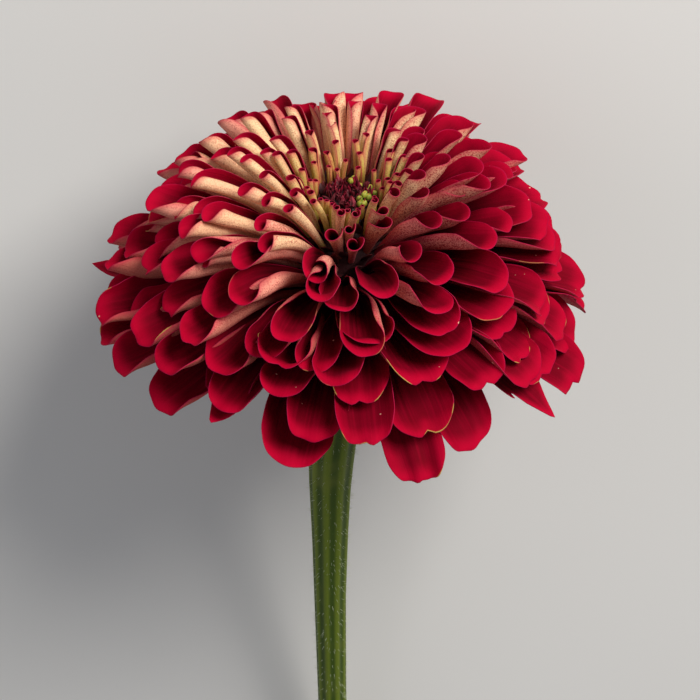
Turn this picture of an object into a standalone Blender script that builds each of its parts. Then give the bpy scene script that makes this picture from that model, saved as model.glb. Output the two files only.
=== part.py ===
"""A cut double zinnia: a domed head of rolled and open ray petals on a bare stem, lying on a table.

Metres, +Z up. The flower is shaped upright in the head's own frame: Z is the flower's axis, the disc
faces +Z, the stem runs down, and Z = 0 is just under the receptacle's rim. Each whorl of petals lies on
its own surface turned round that axis, so neighbours nest without touching. The empty named flower lays
it on its side: the face looks to -Y and a little up, and the stem's cut end and the lowest petals lie
on the table at Z = 0. The object's box is centred on the origin.
"""

import math

import bmesh
import bpy
import numpy as np
from mathutils import Matrix, Vector

MM = 0.001
GAP = 0.35 * MM  # clearance between neighbouring pieces

# The plant's own order: thirteen petals make one whorl, each a golden angle on from the last
PETALS = 195
WHORL = 13
LOOSE_PETALS = 3 * WHORL  # the oldest three whorls, each petal a piece of its own
QUILL_WHORLS = 4  # the youngest whorls, still rolled into quills
GOLDEN_ANGLE = math.pi * (3 - math.sqrt(5))

# How things change with a petal's age, from the disc (0) to the rim (1): its length and greatest width
# in mm, the angles above the horizontal at which it leaves the receptacle and at which its tip ends,
# and the receptacle's own downward slope, in degrees.
AGE = (0.00, 0.10, 0.20, 0.40, 0.60, 0.80, 0.90, 1.00)
LENGTH = (6.5, 11.0, 15.5, 22.5, 29.5, 36.0, 38.0, 37.0)
WIDTH = (1.2, 1.6, 2.2, 4.4, 7.6, 11.0, 11.8, 12.0)
BASE_ANGLE = (88, 78, 68, 50, 33, 16, 7, 0)
TIP_ANGLE = (84, 66, 50, 20, -2, -22, -32, -42)
SLOPE = (32, 48, 61, 72, 78, 81, 83, 84)

# The receptacle, a blunt cone that carries every floret
TOP_RADIUS = 4.9 * MM  # the disc's edge
CONE_SLANT = 25.0 * MM  # from the disc's edge to the rim
RIM_HEIGHT = 1.5 * MM
BOWL_DEPTH = 8.5 * MM  # from the rim down to the neck
BOWL_FOOT = 3.4 * MM  # radius where the bowl meets the stem
DISC_HEIGHT = 3.6 * MM

PETAL_THICKNESS = 0.6 * MM
BASE_SHARE = 0.24  # a petal's width at its base, as a share of its greatest width
WIDEST_AT = 0.68  # where along a petal it is widest
TIP_SHARE = 0.66  # how much of the width is left where the tip starts to round
TIP_ROUND = 0.13  # how much shorter the petal is at its margins than along its midrib
BEND_POWER = 1.4  # above 1, a petal bends more towards its tip
COLLAR = 0.5 * MM  # height of the collar of ovaries that joins a whorl

BRACT_ROWS = (  # name, number of bracts, where they start and end up the bowl's side, in degrees
    ("bracts_inner", 13, 30, 80),
    ("bracts_middle", 12, 22, 70),
    ("bracts_outer", 11, 14, 54),
)
BRACT_THICKNESS = 0.6 * MM
BRACT_CLEARANCE = 0.7 * MM  # between the receptacle and the inner row
BRACT_STEP = 1.25 * MM  # how much further out each outer row sits
BRACT_JOIN = 0.45  # the share of a bract's height over which it is joined to the next

STEM_RADIUS = 3.0 * MM
STEM_LENGTH = 150.0 * MM  # from Z = 0 to the cut
STEM_ROUTE = (  # sideways place and height in mm, and radius as a share of the stem's
    (0.0, -7.9, 1.20),
    (0.2, -11.0, 1.42),
    (0.9, -17.0, 1.62),
    (2.0, -26.0, 1.68),
    (3.2, -37.0, 1.66),
    (3.6, -47.0, 1.50),
    (3.7, -62.0, 1.32),
    (3.8, -80.0, 1.18),
    (3.5, -110.0, 1.08),
    (2.6, -150.0, 1.02),
)

# How it lies
REACH = 48.9 * MM  # from the flower's axis to the lowest petal, square to the table
PRESS = 3.0 * MM  # how far the head settles into its lowest petals
PRESS_FADE = 6.5 * MM  # how quickly that pressing fades with height above the table
FLATTEN = 0.7 * MM  # how deep the petals' patch is that the table presses flat

COLOURS = {
    "ray_petal": ((0.42, 0.004, 0.018), 0.62),
    "quill": ((0.62, 0.36, 0.16), 0.60),
    "disc": ((0.09, 0.004, 0.010), 0.70),
    "bract": ((0.10, 0.15, 0.035), 0.65),
    "receptacle": ((0.42, 0.46, 0.18), 0.70),
    "stem": ((0.11, 0.15, 0.018), 0.55),
}


def clear_scene():
    for obj in list(bpy.data.objects):
        bpy.data.objects.remove(obj)


def make_material(name):
    colour, roughness = COLOURS[name]
    material = bpy.data.materials.new(name)
    material.use_nodes = True
    shader = material.node_tree.nodes["Principled BSDF"]
    shader.inputs["Base Color"].default_value = (*colour, 1)
    shader.inputs["Roughness"].default_value = roughness
    shader.inputs["Metallic"].default_value = 0.0
    return material


def add_object(name, data, material, flower):
    """A named piece in the zinnia collection, held by the flower empty."""
    obj = bpy.data.objects.new(name, data)
    obj.data.materials.append(material)
    bpy.data.collections["zinnia"].objects.link(obj)
    obj.parent = flower
    return obj


def thicken(obj, thickness):
    solidify = obj.modifiers.new("thickness", "SOLIDIFY")
    solidify.thickness = thickness
    solidify.offset = 0
    obj.data.shade_smooth()


def grown(age, values):
    return float(np.interp(age, AGE, values))


def age_of(number):
    return (number + 0.5) / PETALS


def cone_profile(steps=60):
    """Radii and heights down the receptacle's outside, from the disc's edge to the rim."""
    radius, height = TOP_RADIUS, 0.0
    points = [(radius, height)]
    for step in range(steps):
        slope = math.radians(grown((step + 0.5) / steps, SLOPE))
        radius += math.cos(slope) * CONE_SLANT / steps
        height -= math.sin(slope) * CONE_SLANT / steps
        points.append((radius, height))
    return [(r, h - height + RIM_HEIGHT) for r, h in points]


CONE = cone_profile()


def cone_at(age):
    """Where a petal of this age stands on the receptacle: its radius and height."""
    place = age * (len(CONE) - 1)
    radius = np.interp(place, range(len(CONE)), [r for r, _ in CONE])
    height = np.interp(place, range(len(CONE)), [h for _, h in CONE])
    return float(radius), float(height)


def bowl_at(angle, offset=0.0):
    """A point under the receptacle, at an angle from the neck (0) to the rim (90 degrees)."""
    across = CONE[-1][0] - BOWL_FOOT
    turn = math.radians(angle)
    radius = BOWL_FOOT + across * math.sin(turn)
    height = RIM_HEIGHT - BOWL_DEPTH * math.cos(turn)
    out, down = BOWL_DEPTH * math.sin(turn), across * math.cos(turn)
    norm = math.hypot(out, down)
    return radius + offset * out / norm, height - offset * down / norm


def half_width(along, width):
    """Half a petal's width at a share of its length: a narrow claw that widens to a rounded blade."""
    if along < WIDEST_AT:
        rise = along / WIDEST_AT
        share = BASE_SHARE + (1 - BASE_SHARE) * rise * rise * (3 - 2 * rise)
    else:
        fall = (along - WIDEST_AT) / (1 - WIDEST_AT)
        share = 1 - (1 - TIP_SHARE) * fall**2
    return share * width / 2


def midrib(age, steps=48):
    """Radii and heights along a petal's midrib, from just off the receptacle to its tip."""
    length = grown(age, LENGTH) * MM
    base_angle = math.radians(grown(age, BASE_ANGLE))
    tip_angle = math.radians(grown(age, TIP_ANGLE))
    slope = math.radians(grown(age, SLOPE))
    clear = GAP + PETAL_THICKNESS / 2
    radius, height = cone_at(age)
    radius += math.sin(slope) * clear
    height += math.cos(slope) * clear
    line = [(radius, height)]
    for step in range(steps):
        angle = base_angle + (tip_angle - base_angle) * ((step + 0.5) / steps) ** BEND_POWER
        radius += math.cos(angle) * length / steps
        height += math.sin(angle) * length / steps
        line.append((radius, height))
    return line


def petal_grid(number, age, columns, rows):
    """Rows of points over one petal, from base to tip, turned to the petal's place on the head."""
    width = grown(age, WIDTH) * MM
    line = midrib(age)
    turn = number * GOLDEN_ANGLE
    grid = []
    for row in range(rows + 1):
        points = []
        for column in range(columns + 1):
            across = 2 * column / columns - 1
            along = row / rows * (1 - TIP_ROUND * across * across)
            radius, height = line[round(along * (len(line) - 1))]
            angle = turn + across * half_width(along, width) / radius
            points.append(Vector((radius * math.cos(angle), radius * math.sin(angle), height)))
        grid.append(points)
    return grid


def press_on_table(mesh, flower):
    """Eases what would go through the table up to it, so that the lowest petals lie along it."""
    world = flower.matrix_world
    back = world.inverted()
    lowest = PETAL_THICKNESS / 2
    for vertex in mesh.vertices:
        place = world @ vertex.co
        place.z += PRESS * math.exp(-max(0.0, place.z - lowest + PRESS) / PRESS_FADE)
        place.z = max(place.z, lowest)
        vertex.co = back @ place


def fill_rows(shape, rows):
    for lower, upper in zip(rows, rows[1:]):
        for left in range(len(lower) - 1):
            shape.faces.new((lower[left], lower[left + 1], upper[left + 1], upper[left]))


def finished_mesh(name, shape):
    bmesh.ops.recalc_face_normals(shape, faces=shape.faces)
    mesh = bpy.data.meshes.new(name)
    shape.to_mesh(mesh)
    shape.free()
    return mesh


def build_loose_petal(number, material, flower):
    """One of the oldest petals: a broad blade of its own, pointing out and down."""
    shape = bmesh.new()
    grid = petal_grid(number, age_of(number), 4, 5)
    fill_rows(shape, [[shape.verts.new(point) for point in points] for points in grid])
    name = f"outer_petal_{number - (PETALS - LOOSE_PETALS) + 1:02d}"
    mesh = finished_mesh(name, shape)
    press_on_table(mesh, flower)
    thicken(add_object(name, mesh, material, flower), PETAL_THICKNESS)


def build_whorl(name, numbers, columns, rows, material, flower):
    """Thirteen petals that share one collar of ovaries round the receptacle."""
    age = age_of(numbers[len(numbers) // 2])
    slope = math.radians(grown(age, SLOPE))
    down = Vector((math.cos(slope) * COLLAR, 0, -math.sin(slope) * COLLAR))
    shape = bmesh.new()
    ring = []
    for number in sorted(numbers, key=lambda n: (n * GOLDEN_ANGLE) % math.tau):
        grid = petal_grid(number, age, columns, rows)
        petal = [[shape.verts.new(point) for point in points] for points in grid]
        fill_rows(shape, petal)
        for top in petal[0]:
            outwards = Matrix.Rotation(math.atan2(top.co.y, top.co.x), 4, "Z")
            ring.append((top, shape.verts.new(top.co + outwards @ down)))
    for (top, foot), (next_top, next_foot) in zip(ring, ring[1:] + ring[:1]):
        shape.faces.new((top, foot, next_foot, next_top))
    mesh = finished_mesh(name, shape)
    press_on_table(mesh, flower)
    thicken(add_object(name, mesh, material, flower), PETAL_THICKNESS)


def build_turned(name, profile, material, flower, sides=18):
    """A turned piece from a profile that starts and ends on the axis, top to bottom."""
    shape = bmesh.new()
    points = [shape.verts.new((radius, 0, height)) for radius, height in profile]
    for upper, lower in zip(points, points[1:]):
        shape.edges.new((upper, lower))
    mesh = bpy.data.meshes.new(name)
    shape.to_mesh(mesh)
    shape.free()
    obj = add_object(name, mesh, material, flower)
    screw = obj.modifiers.new("turn", "SCREW")
    screw.steps = screw.render_steps = sides
    screw.use_merge_vertices = True
    screw.merge_threshold = 0.00001
    obj.data.shade_smooth()


def build_receptacle(material, flower):
    cone = CONE[::10]
    bowl = [bowl_at(angle) for angle in range(72, -1, -18)]
    profile = [(0.0, cone[0][1] + 0.3 * MM), *cone, *bowl, (0.0, bowl[-1][1])]
    build_turned("receptacle", profile, material, flower)


def build_disc(material, flower):
    """The dark button of disc florets, a low dome with a dimple in its middle."""
    radius = TOP_RADIUS - 0.5 * MM
    foot = CONE[0][1] + 0.3 * MM + GAP
    profile = [
        (0.0, foot + 0.70 * DISC_HEIGHT),
        (0.45 * radius, foot + DISC_HEIGHT),
        (0.85 * radius, foot + 0.75 * DISC_HEIGHT),
        (radius, foot + 0.30 * DISC_HEIGHT),
        (0.9 * radius, foot),
        (0.0, foot),
    ]
    build_turned("disc_florets", profile, material, flower)


def build_bract_row(order, name, count, low, high, material, flower):
    """One row of the green scales round the head's base, joined over their lower part."""
    offset = BRACT_CLEARANCE + BRACT_THICKNESS / 2 + order * BRACT_STEP
    columns, rows = 2, 3
    shape = bmesh.new()
    rings = []
    for row in range(rows + 1):
        ring = []
        for step in range(count * columns):
            lobe = math.sin(math.pi * (step % columns) / columns)
            reach = BRACT_JOIN + (1 - BRACT_JOIN) * lobe
            radius, height = bowl_at(low + (high - low) * reach * row / rows, offset)
            angle = math.tau * (step / columns + 0.5 * order) / count
            place = (radius * math.cos(angle), radius * math.sin(angle), height)
            ring.append(shape.verts.new(place))
        rings.append(ring + ring[:1])
    fill_rows(shape, rings)
    thicken(add_object(name, finished_mesh(name, shape), material, flower), BRACT_THICKNESS)


def build_stem(material, flower):
    """The stem: swollen at the neck, slim below, a little bent, cut straight across."""
    curve = bpy.data.curves.new("stem", "CURVE")
    curve.dimensions = "3D"
    curve.bevel_depth = STEM_RADIUS
    curve.bevel_resolution = 3
    curve.use_fill_caps = True
    spline = curve.splines.new("POLY")
    spline.points.add(len(STEM_ROUTE) - 1)
    for point, (side, height, share) in zip(spline.points, STEM_ROUTE):
        point.co = (side * MM, 0, height * MM, 1)
        point.radius = share
    add_object("stem", curve, material, flower)


def lay_down(flower):
    """Tips the upright flower forward: its side settles on the table and so does the stem's end."""
    head_height = REACH - PRESS - FLATTEN
    tilt = math.asin(head_height / math.hypot(STEM_LENGTH, STEM_RADIUS))
    tilt -= math.atan2(STEM_RADIUS, STEM_LENGTH)
    flower.rotation_euler.x = math.pi / 2 - tilt
    flower.location.z = head_height
    bpy.context.view_layer.update()


def centre_on_table(flower):
    """Moves the flower so that its box is centred on the origin and its lowest point is at Z = 0."""
    graph = bpy.context.evaluated_depsgraph_get()
    places = []
    for obj in flower.children:
        evaluated = obj.evaluated_get(graph)
        mesh = evaluated.to_mesh()
        places += [evaluated.matrix_world @ vertex.co for vertex in mesh.vertices]
        evaluated.to_mesh_clear()
    low = Vector(min(place[axis] for place in places) for axis in range(3))
    high = Vector(max(place[axis] for place in places) for axis in range(3))
    flower.location.x -= (low.x + high.x) / 2
    flower.location.y -= (low.y + high.y) / 2
    flower.location.z -= low.z


def build():
    clear_scene()
    collection = bpy.data.collections.new("zinnia")
    bpy.context.scene.collection.children.link(collection)
    flower = bpy.data.objects.new("flower", None)
    collection.objects.link(flower)
    lay_down(flower)

    materials = {name: make_material(name) for name in COLOURS}
    build_stem(materials["stem"], flower)
    build_receptacle(materials["receptacle"], flower)
    build_disc(materials["disc"], flower)
    for order, (name, count, low, high) in enumerate(BRACT_ROWS):
        build_bract_row(order, name, count, low, high, materials["bract"], flower)

    for whorl in range((PETALS - LOOSE_PETALS) // WHORL):
        numbers = range(whorl * WHORL, (whorl + 1) * WHORL)
        if whorl < QUILL_WHORLS:
            build_whorl(f"quill_whorl_{whorl + 1}", numbers, 1, 2, materials["quill"], flower)
        else:
            name = f"spoon_whorl_{whorl - QUILL_WHORLS + 1}"
            build_whorl(name, numbers, 2, 3, materials["ray_petal"], flower)
    for number in range(PETALS - LOOSE_PETALS, PETALS):
        build_loose_petal(number, materials["ray_petal"], flower)
    centre_on_table(flower)


build()
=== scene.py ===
"""The looks of a cut double zinnia that lies on a table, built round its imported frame.

The flower is shaped upright in the head's own frame, in metres: Z is the flower's axis, the disc faces
+Z and the stem runs down. lay() then puts every point where the frame has it. Seen from the camera, the
head's +Y side is the near one, its +X side is the left one and its -Y side rests on the table.
"""

import math
import random

import bpy
import numpy as np
from mathutils import Matrix, Vector


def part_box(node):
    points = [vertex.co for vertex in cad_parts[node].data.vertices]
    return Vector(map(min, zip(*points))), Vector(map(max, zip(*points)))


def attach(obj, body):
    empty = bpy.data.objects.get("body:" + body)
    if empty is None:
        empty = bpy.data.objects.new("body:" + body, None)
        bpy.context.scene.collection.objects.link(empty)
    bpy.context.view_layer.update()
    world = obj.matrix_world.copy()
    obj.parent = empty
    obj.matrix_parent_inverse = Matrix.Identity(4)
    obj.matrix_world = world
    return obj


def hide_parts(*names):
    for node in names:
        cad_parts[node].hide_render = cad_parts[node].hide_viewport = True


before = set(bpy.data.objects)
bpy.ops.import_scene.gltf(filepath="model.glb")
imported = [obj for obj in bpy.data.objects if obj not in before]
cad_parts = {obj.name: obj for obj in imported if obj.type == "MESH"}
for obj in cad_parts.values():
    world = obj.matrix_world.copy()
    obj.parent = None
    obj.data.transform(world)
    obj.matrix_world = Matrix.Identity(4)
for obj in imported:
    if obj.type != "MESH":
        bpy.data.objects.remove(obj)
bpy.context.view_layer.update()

MM = 0.001
SEED = 41

# The plant's order, and how everything changes with a petal's age, from the disc (0) to the rim (1).
# Lengths are in mm and angles in degrees.
PETALS = 195
WHORL = 13
QUILL_WHORLS = 4
SPOON_WHORLS = 8
GOLDEN_ANGLE = math.pi * (3 - math.sqrt(5))
FLUSH_TURN = math.radians(25)  # how far nearer than the head's right side the petals' backs are reddest
AGE = (0.00, 0.10, 0.20, 0.30, 0.40, 0.50, 0.60, 0.80, 0.90, 1.00)
LENGTH = (4.2, 9.4, 14.8, 19.4, 23.2, 26.6, 29.4, 33.8, 35.2, 35.0)
WIDTH = (3.4, 5.2, 7.0, 8.6, 10.3, 11.9, 13.1, 14.6, 14.8, 14.6)  # measured round the roll
CLAW = (0.80, 0.70, 0.62, 0.54, 0.46, 0.40, 0.36, 0.30, 0.28, 0.28)  # the base's share of that width
BASE_ANGLE = (86, 78, 68, 59, 50, 41, 33, 16, 7, 0)
TIP_ANGLE = (84, 68, 52, 37, 21, 8, -5, -25, -29, -32)
HOOK = (0, 0, 0, 2, 8, 22, 34, 40, 32, 18)  # how far the tip turns back up
ROLL_LOW = (212, 216, 218, 216, 210, 200, 180, 125, 100, 84)  # from midrib to margin, near the base
ROLL_MIDDLE = (216, 220, 222, 216, 202, 174, 142, 104, 80, 64)
ROLL_TIP = (196, 196, 192, 172, 142, 120, 106, 82, 64, 50)
ROLL_SAMPLES = 14  # places at which the roll's curve is summed up
QUILL_GRID = (26, 22)  # rows and columns of faces on each side of a petal
SPOON_GRID = (30, 24)
BROAD_GRID = (36, 28)

# Petals that differ from their neighbours, by their place round the head in degrees, or by number
STRETCHED = (256, 240, 230, 290)  # where the back has a petal that stands up and open
STRETCHED_AGES = (0.36, 0.58)
SPLIT = (48, 130, 345)  # where the rim has a petal with a torn, pointed tip
SPLIT_AGES = (0.86, 1.0)
HANGING = 106  # where one of the oldest petals droops
HANGING_AGES = (0.9, 1.0)
HANGING_SIZE = (38.5 * MM, 11.5 * MM)
COVERING = 94  # where another covers the stem's neck
COVERING_AGES = (0.8, 0.93)
COVERING_LENGTH = 38.0 * MM
NESTED = 1.15  # the share of the widest spoons that hold another, a little younger, inside them
LEFT_OUT = (100.5, 110.5, 123.5, 147.5)  # nested petals with no room
LOWERED = {192: 9, 155.5: 7}  # petals that bow down more than their age does, in degrees
YOUNGEST = 12  # tiny quills on the disc's edge, numbered below zero

# The disc, and the chaff between the petals
DISC_SCALES = 130
DISC_REACH = 4.5 * MM  # how far out its scales stand
BUDS = 15
BUD_SIDE = 188  # where they gather, in degrees round the head
CHAFF = 260
SCALE_HALF = 0.05 * MM  # half a scale's thickness

# The receptacle and the bowl under it
SLOPE = (32, 48, 61, 67, 72, 75, 78, 81, 83, 84)  # the cone's downward slope, in degrees
TOP_RADIUS = 4.9 * MM  # the disc's edge
CONE_SLANT = 25.0 * MM  # from the disc's edge to the rim
RIM_HEIGHT = 1.5 * MM
BOWL_DEPTH = 8.5 * MM  # from the rim down to the neck
BOWL_FOOT = 3.4 * MM  # radius where the bowl meets the stem

# The bracts: name, number, and where they start and end up the bowl's side, in degrees
BRACT_ROWS = (("inner", 13, 26, 84), ("middle", 12, 18, 74), ("outer", 11, 10, 58))
BRACT_CLEARANCE = 0.7 * MM  # between the receptacle and the inner row
BRACT_STEP = 1.25 * MM  # how much further out each outer row sits
BRACT_LENGTH = 11.0  # in mm, like the half width: both place the dark fringe along the margins
BRACT_HALF_WIDTH = 3.5

# The stem
STEM_RADIUS = 3.0 * MM
STEM_LENGTH = 150.0 * MM
STEM_ROUTE = (  # sideways place and height in mm, and radius as a share of the stem's
    (0.0, -7.6, 1.10),
    (0.2, -11.0, 1.40),
    (0.9, -17.0, 1.61),
    (2.0, -26.0, 1.67),
    (3.2, -37.0, 1.65),
    (3.6, -47.0, 1.49),
    (3.7, -62.0, 1.31),
    (3.8, -80.0, 1.17),
    (3.5, -110.0, 1.07),
    (2.6, -150.0, 1.00),
)
RIBS = 9
HAIRS = 1500
HAIR_WIDTH = 0.045 * MM
CUT_RINGS = (1.0, 0.93, 0.80, 0.55, 0.25, 0.01)  # shares of the cut end's radius
CUT_DIPS = (0.0, 0.06, 0.02, 0.16, 0.30, 0.34)  # how far the cut is sunk at each, in mm

# How it lies
REACH = 48.9 * MM  # from the flower's axis to the lowest petal, square to the table
PRESS = 3.0 * MM  # how far the head settles into its lowest petals
PRESS_FADE = 6.5 * MM  # how quickly that pressing fades with height above the table
FLATTEN = 0.7 * MM  # how deep the petals' patch is that the table presses flat
REST = 0.3 * MM  # the pressed petals' middle above the table

# The camera and the light
CAMERA_RISE = math.radians(38)  # how far the camera stands above the plane of the head's rim
CAMERA_DISTANCE = 0.52
CAMERA_DROP = 7 * MM  # how far it aims below the head's middle
FRAME_WIDTH = 0.140  # what the picture spans at the head
SENSOR_WIDTH = 36
WORLD_LIGHT = 0.29

# The petals' colours: inside, then outside from the disc outwards, then along the margins
# The first is nearly black: partly the petals' own dark, partly painted shade deep in their rolls
DARK_CRIMSON_AND_SHADE = (0.032, 0.0001, 0.002)
CRIMSON = (0.43, 0.0003, 0.022)
CRIMSON_STREAK = (0.40, 0.0006, 0.024)
DEEP_RED = (0.13, 0.0004, 0.004)
QUILL_FOOT = (0.46, 0.46, 0.05)
QUILL_YELLOW = (0.72, 0.60, 0.16)
CREAM_FOOT = (0.52, 0.48, 0.07)
CREAM = (0.93, 0.63, 0.35)
SALMON = (0.86, 0.36, 0.26)
OLD_ROSE = (0.50, 0.12, 0.09)
RED_FLUSH = (0.52, 0.06, 0.09)
RED_FLECK = (0.31, 0.014, 0.026)
MAGENTA_MARGIN = (0.52, 0.020, 0.060)
MAGENTA_FOOT = (0.40, 0.012, 0.08)
MAGENTA_EDGE = (0.34, 0.003, 0.034)
# The rim's colour: partly its own magenta, partly a painted highlight along the edge
MAGENTA_RIM_AND_HIGHLIGHT = (0.42, 0.010, 0.070)
POLLEN = (0.80, 0.42, 0.30)
WITHERED = (0.48, 0.29, 0.08)


# ---------------------------------------------------------------- the frame's place


def find_lay():
    """The matrix from the head's own frame to the table's, found from where the stem ends."""
    head_height = REACH - PRESS - FLATTEN
    tilt = math.asin(head_height / math.hypot(STEM_LENGTH, STEM_RADIUS))
    tilt -= math.atan2(STEM_RADIUS, STEM_LENGTH)
    stem_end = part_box("stem")[1].y
    across = (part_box("disc_florets")[0].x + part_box("disc_florets")[1].x) / 2
    along = stem_end - STEM_LENGTH * math.cos(tilt) - STEM_RADIUS * math.sin(tilt)
    turn = Matrix.Rotation(math.pi / 2 - tilt, 4, "X")
    return tilt, Matrix.Translation((across, along, head_height)) @ turn


TILT, LAY = find_lay()


def lay(points):
    """Points of the head's own frame on the table, with what would go through it eased up to it."""
    matrix = np.array(LAY)
    placed = points @ matrix[:3, :3].T + matrix[:3, 3]
    height = placed[..., 2]
    rise = PRESS * np.exp(-np.maximum(0.0, height - REST + PRESS) / PRESS_FADE)
    placed[..., 2] = np.maximum(height + rise, REST)
    return placed


def grown(age, values):
    """What a row of values, one for each stated age, gives at this age."""
    return float(np.interp(age, AGE, values))


def ease(low, high, value):
    """0 below low, 1 above high, and a smooth step between."""
    share = np.clip((value - low) / (high - low), 0.0, 1.0)
    return share * share * (3 - 2 * share)


def cone_profile(steps=120):
    """Radii and heights down the receptacle's outside, from the disc's edge to the rim."""
    slope = np.radians(np.interp((np.arange(steps) + 0.5) / steps, AGE, SLOPE))
    radii = TOP_RADIUS + np.concatenate([[0], np.cumsum(np.cos(slope))]) * CONE_SLANT / steps
    heights = -np.concatenate([[0], np.cumsum(np.sin(slope))]) * CONE_SLANT / steps
    return radii, heights - heights[-1] + RIM_HEIGHT


CONE_RADII, CONE_HEIGHTS = cone_profile()
CONE_PLACES = np.linspace(0, 1, len(CONE_RADII))
RIM_RADIUS = float(CONE_RADII[-1])
DISC_FOOT = float(CONE_HEIGHTS[0])


# ---------------------------------------------------------------- thick sheets


class Shape:
    """A mesh under construction, with what the materials read at every point."""

    def __init__(self):
        self.points, self.faces = [], []
        self.traits = {"place": [], "kind": [], "mood": []}
        self.count = 0

    def add(self, points, faces, **traits):
        """Points as (n, 3), faces as (m, 4), and one (n, 3) array for each trait that is given."""
        self.points.append(points)
        self.faces.append(faces + self.count)
        for name, rows in self.traits.items():
            rows.append(traits.get(name, np.zeros((len(points), 3))))
        self.count += len(points)

    def finish(self, name, material):
        """The finished object, smooth and with its material."""
        mesh = bpy.data.meshes.new(name)
        points = np.concatenate(self.points)
        faces = np.concatenate(self.faces)
        mesh.from_pydata(points.tolist(), [], faces.tolist())
        for trait, rows in self.traits.items():
            values = np.concatenate(rows).astype(np.float32)
            mesh.attributes.new(trait, "FLOAT_VECTOR", "POINT").data.foreach_set("vector", values.ravel())
        mesh.shade_smooth()
        mesh.materials.append(material)
        obj = bpy.data.objects.new(name, mesh)
        bpy.context.scene.collection.objects.link(obj)
        return obj


def grid_faces(rows, columns, offset=0):
    """The quads of a grid of points, (rows + 1) by (columns + 1), that face the grid's upper side."""
    corner = np.arange(rows)[:, None] * (columns + 1) + np.arange(columns)[None, :] + offset
    corner = corner.ravel()
    return np.stack([corner, corner + columns + 1, corner + columns + 2, corner + 1], axis=1)


def edge_loop(rows, columns):
    """The row and column of every point round a grid's edge, in order."""
    right = [(row, columns) for row in range(1, rows + 1)]
    back = [(rows, column) for column in range(columns - 1, -1, -1)]
    left = [(row, 0) for row in range(rows - 1, 0, -1)]
    loop = [(0, column) for column in range(columns + 1)] + right + back + left
    return np.array(loop)


def closer_at_ends(steps, reach):
    """Places from -1 to 1 that stand closer together near both ends, for a reach close to pi / 2."""
    return np.sin(np.linspace(-1, 1, steps + 1) * reach) / math.sin(reach)


def sheet_normals(points):
    """The unit normals of a sheet's points, on its upper side."""
    down = np.gradient(points, axis=0)
    across = np.gradient(points, axis=1)
    normals = np.cross(down, across)
    return normals / np.maximum(np.linalg.norm(normals, axis=2, keepdims=True), 1e-12)


def add_sheet(shape, points, half_thickness, place, age, mood):
    """Adds a sheet with two faces and a rounded rim. points and place are (rows, columns, 3).

    The values of its kind are 0 on the upper face, 1 on the lower and 0.5 on the rim; then 1 on the rim
    alone; then its age.
    """
    rows, columns = points.shape[0] - 1, points.shape[1] - 1
    normals = sheet_normals(points)
    half = half_thickness[..., None]
    loop = edge_loop(rows, columns)
    inner = np.stack([np.clip(loop[:, 0], 1, rows - 1), np.clip(loop[:, 1], 1, columns - 1)], axis=1)
    edge = points[loop[:, 0], loop[:, 1]]
    outwards = edge - points[inner[:, 0], inner[:, 1]]
    outwards /= np.maximum(np.linalg.norm(outwards, axis=1, keepdims=True), 1e-12)
    rim = edge + outwards * half[loop[:, 0], loop[:, 1]]

    size = (rows + 1) * (columns + 1)
    top = loop[:, 0] * (columns + 1) + loop[:, 1]
    bottom = top + size
    ring = np.arange(len(loop)) + 2 * size
    upper = np.stack([top, np.roll(top, -1), np.roll(ring, -1), ring], axis=1)
    lower = np.stack([ring, np.roll(ring, -1), np.roll(bottom, -1), bottom], axis=1)
    faces = [grid_faces(rows, columns), grid_faces(rows, columns, size)[:, ::-1], upper, lower]

    flat_place = place.reshape(-1, 3)
    rim_place = place[loop[:, 0], loop[:, 1]].copy()
    rim_place[:, 2] = 0
    kind = np.zeros((2 * size + len(loop), 3))
    kind[size:, 0] = 1.0
    kind[2 * size :, 0] = 0.5
    kind[2 * size :, 1] = 1.0
    kind[:, 2] = age
    upper_face = (points + normals * half).reshape(-1, 3)
    lower_face = (points - normals * half).reshape(-1, 3)
    shape.add(
        np.concatenate([upper_face, lower_face, rim]),
        np.concatenate(faces),
        place=np.concatenate([flat_place, flat_place, rim_place]),
        kind=kind,
        mood=np.tile(np.array(mood, float), (len(kind), 1)),
    )


# ---------------------------------------------------------------- ray petals


def nearest_petals(places, low, high):
    """For each place round the head, in degrees, the petal between two ages that stands nearest it."""
    numbers = [number for number in range(PETALS) if low <= (number + 0.5) / PETALS <= high]

    def away(number, place):
        return abs((number * math.degrees(GOLDEN_ANGLE) - place + 180) % 360 - 180)

    return {min(numbers, key=lambda number: away(number, place)) for place in places}


STRETCHED_PETALS = nearest_petals(STRETCHED, *STRETCHED_AGES)
SPLIT_PETALS = nearest_petals(SPLIT, *SPLIT_AGES)
HANGING_PETAL = min(nearest_petals((HANGING,), *HANGING_AGES))
COVERING_PETAL = min(nearest_petals((COVERING,), *COVERING_AGES))


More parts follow.
